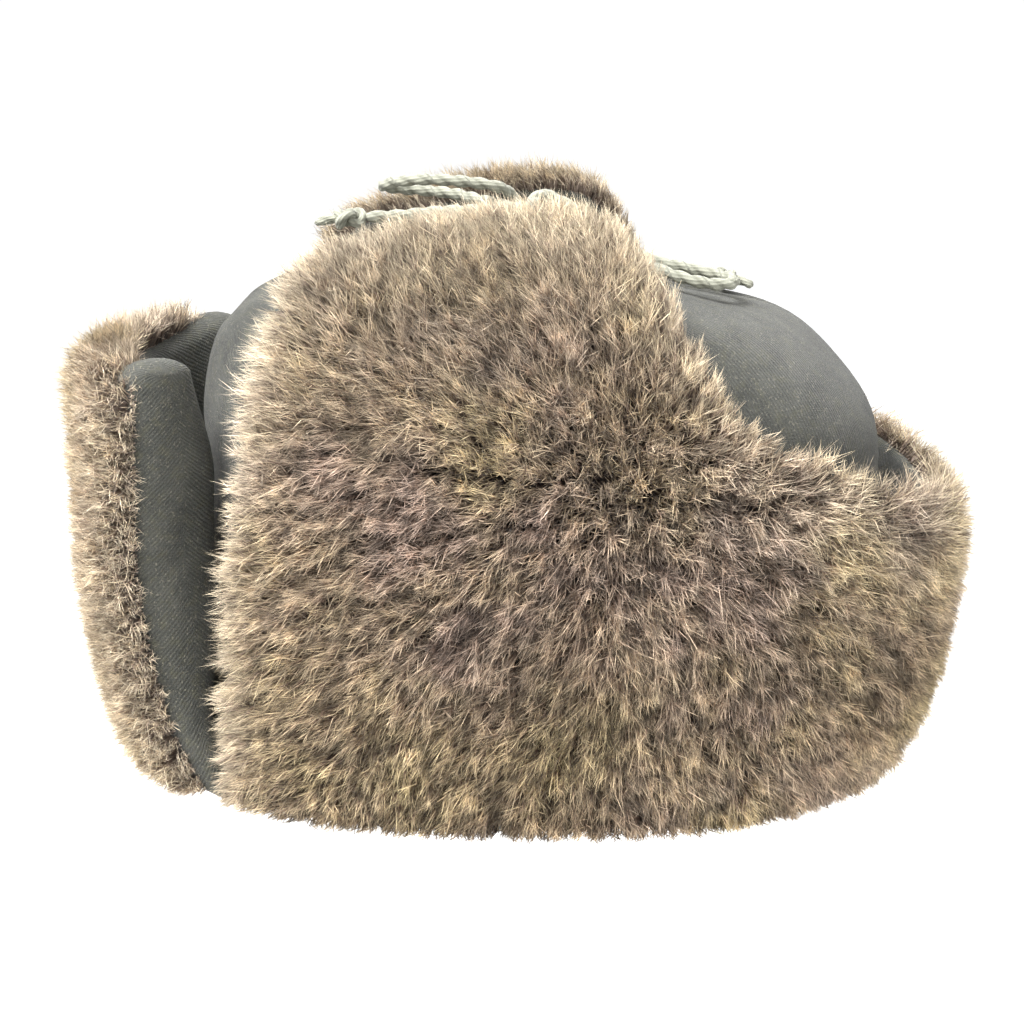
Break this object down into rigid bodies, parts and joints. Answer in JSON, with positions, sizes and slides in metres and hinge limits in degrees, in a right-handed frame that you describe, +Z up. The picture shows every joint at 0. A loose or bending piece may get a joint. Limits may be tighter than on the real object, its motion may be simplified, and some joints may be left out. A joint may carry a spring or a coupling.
{
  "type": "trapper hat",
  "caption": "Knitted-cloth winter hat with a domed crown, a fur-faced visor and ear and nape flaps folded up, and cord ties bowed on top.",
  "frame": {"origin": "middle of the hat's footprint, on the plane that its turned-up flaps stand on", "axes": "+Z up through the crown, -Y towards the wearer's front where the visor is, +X towards the wearer's left"},
  "size_m": [0.2174, 0.2829, 0.1807],
  "materials": {
    "knitted_cloth": "matte",
    "faux_fur": "matte",
    "wadding": "matte",
    "quilted_lining": "satin",
    "tie_cord": "matte",
    "woven_label": "matte"
  },
  "bodies": {
    "crown": {"crown_gore_rear_left": "knitted_cloth", "crown_wadding_rear_left": "wadding", "lining_gore_rear_left": "quilted_lining", "crown_gore_rear_right": "knitted_cloth", "crown_wadding_rear_right": "wadding", "lining_gore_rear_right": "quilted_lining", "crown_gore_front_right": "knitted_cloth", "crown_wadding_front_right": "wadding", "lining_gore_front_right": "quilted_lining", "crown_gore_front_left": "knitted_cloth", "crown_wadding_front_left": "wadding", "lining_gore_front_left": "quilted_lining", "rim_fur_band": "faux_fur", "blank_label": "woven_label"},
    "visor": {"visor_cloth": "knitted_cloth", "visor_padding": "wadding", "visor_fur": "faux_fur"},
    "left_ear_flap": {"left_ear_cloth": "knitted_cloth", "left_ear_padding": "wadding", "left_ear_fur": "faux_fur"},
    "left_ear_tip": {"left_ear_tip_cloth": "knitted_cloth", "left_ear_tip_padding": "wadding", "left_ear_tip_fur": "faux_fur", "tie_tab_left": "tie_cord"},
    "left_tie": {"tie_left": "tie_cord", "stopper_knot_left": "tie_cord"},
    "right_ear_flap": {"right_ear_cloth": "knitted_cloth", "right_ear_padding": "wadding", "right_ear_fur": "faux_fur"},
    "right_ear_tip": {"right_ear_tip_cloth": "knitted_cloth", "right_ear_tip_padding": "wadding", "right_ear_tip_fur": "faux_fur", "tie_tab_right": "tie_cord"},
    "right_tie": {"tie_right": "tie_cord", "stopper_knot_right": "tie_cord"},
    "left_nape_corner": {"left_nape_cloth": "knitted_cloth", "left_nape_padding": "wadding", "left_nape_fur": "faux_fur"},
    "right_nape_corner": {"right_nape_cloth": "knitted_cloth", "right_nape_padding": "wadding", "right_nape_fur": "faux_fur"},
    "neck_flap": {"neck_cloth": "knitted_cloth", "neck_padding": "wadding", "neck_fur": "faux_fur"}
  },
  "joints": [
    {"name": "left_ear_fold", "type": "hinge", "parent": "crown", "child": "left_ear_flap", "pos_m": [0.0805, 0, 0.0006], "axis": [0.1304, 0.9915, 0], "range_deg": [0, 168]},
    {"name": "right_ear_fold", "type": "hinge", "parent": "crown", "child": "right_ear_flap", "pos_m": [-0.0805, 0, 0.0006], "axis": [0.1304, -0.9915, 0], "range_deg": [0, 169]},
    {"name": "left_ear_bend", "type": "hinge", "parent": "left_ear_flap", "child": "left_ear_tip", "pos_m": [0.0985, 0, 0.1312], "axis": [0, 1, 0], "range_deg": [0, 46]},
    {"name": "right_ear_bend", "type": "hinge", "parent": "right_ear_flap", "child": "right_ear_tip", "pos_m": [-0.0985, 0, 0.1312], "axis": [0, -1, 0], "range_deg": [0, 46]},
    {"name": "left_nape_fold", "type": "hinge", "parent": "crown", "child": "left_nape_corner", "pos_m": [0.065, 0.0778, 0.0006], "axis": [-0.6698, 0.7425, 0], "range_deg": [0, 151]},
    {"name": "right_nape_fold", "type": "hinge", "parent": "crown", "child": "right_nape_corner", "pos_m": [-0.065, 0.0778, 0.0006], "axis": [-0.6698, -0.7425, 0], "range_deg": [0, 151]},
    {"name": "neck_fold", "type": "hinge", "parent": "crown", "child": "neck_flap", "pos_m": [0, 0.1025, 0.0006], "axis": [-1, 0, 0], "range_deg": [0, 141]},
    {"name": "left_tie_swing", "type": "hinge", "parent": "left_ear_tip", "child": "left_tie", "pos_m": [0.0375, 0.003, 0.1645], "axis": [0, 1, 0], "range_deg": [0, 61]},
    {"name": "right_tie_swing", "type": "hinge", "parent": "right_ear_tip", "child": "right_tie", "pos_m": [-0.0375, 0.003, 0.1645], "axis": [0, -1, 0], "range_deg": [0, 61]},
    {"name": "visor_fold", "type": "hinge", "parent": "crown", "child": "visor", "pos_m": [0, -0.0905, 0.0006], "axis": [1, 0, 0], "range_deg": [0, 138]}
  ],
  "couplings": [
    {"joint": "right_ear_fold", "follows": "left_ear_fold", "ratio": 1},
    {"joint": "left_ear_bend", "follows": "left_ear_fold", "ratio": 0.26786},
    {"joint": "right_ear_bend", "follows": "left_ear_fold", "ratio": 0.26786},
    {"joint": "left_nape_fold", "follows": "left_ear_fold", "ratio": 0.89286},
    {"joint": "right_nape_fold", "follows": "left_ear_fold", "ratio": 0.89286},
    {"joint": "neck_fold", "follows": "left_ear_fold", "ratio": 0.83333},
    {"joint": "left_tie_swing", "follows": "left_ear_fold", "ratio": 0.35714},
    {"joint": "right_tie_swing", "follows": "left_ear_fold", "ratio": 0.35714}
  ]
}
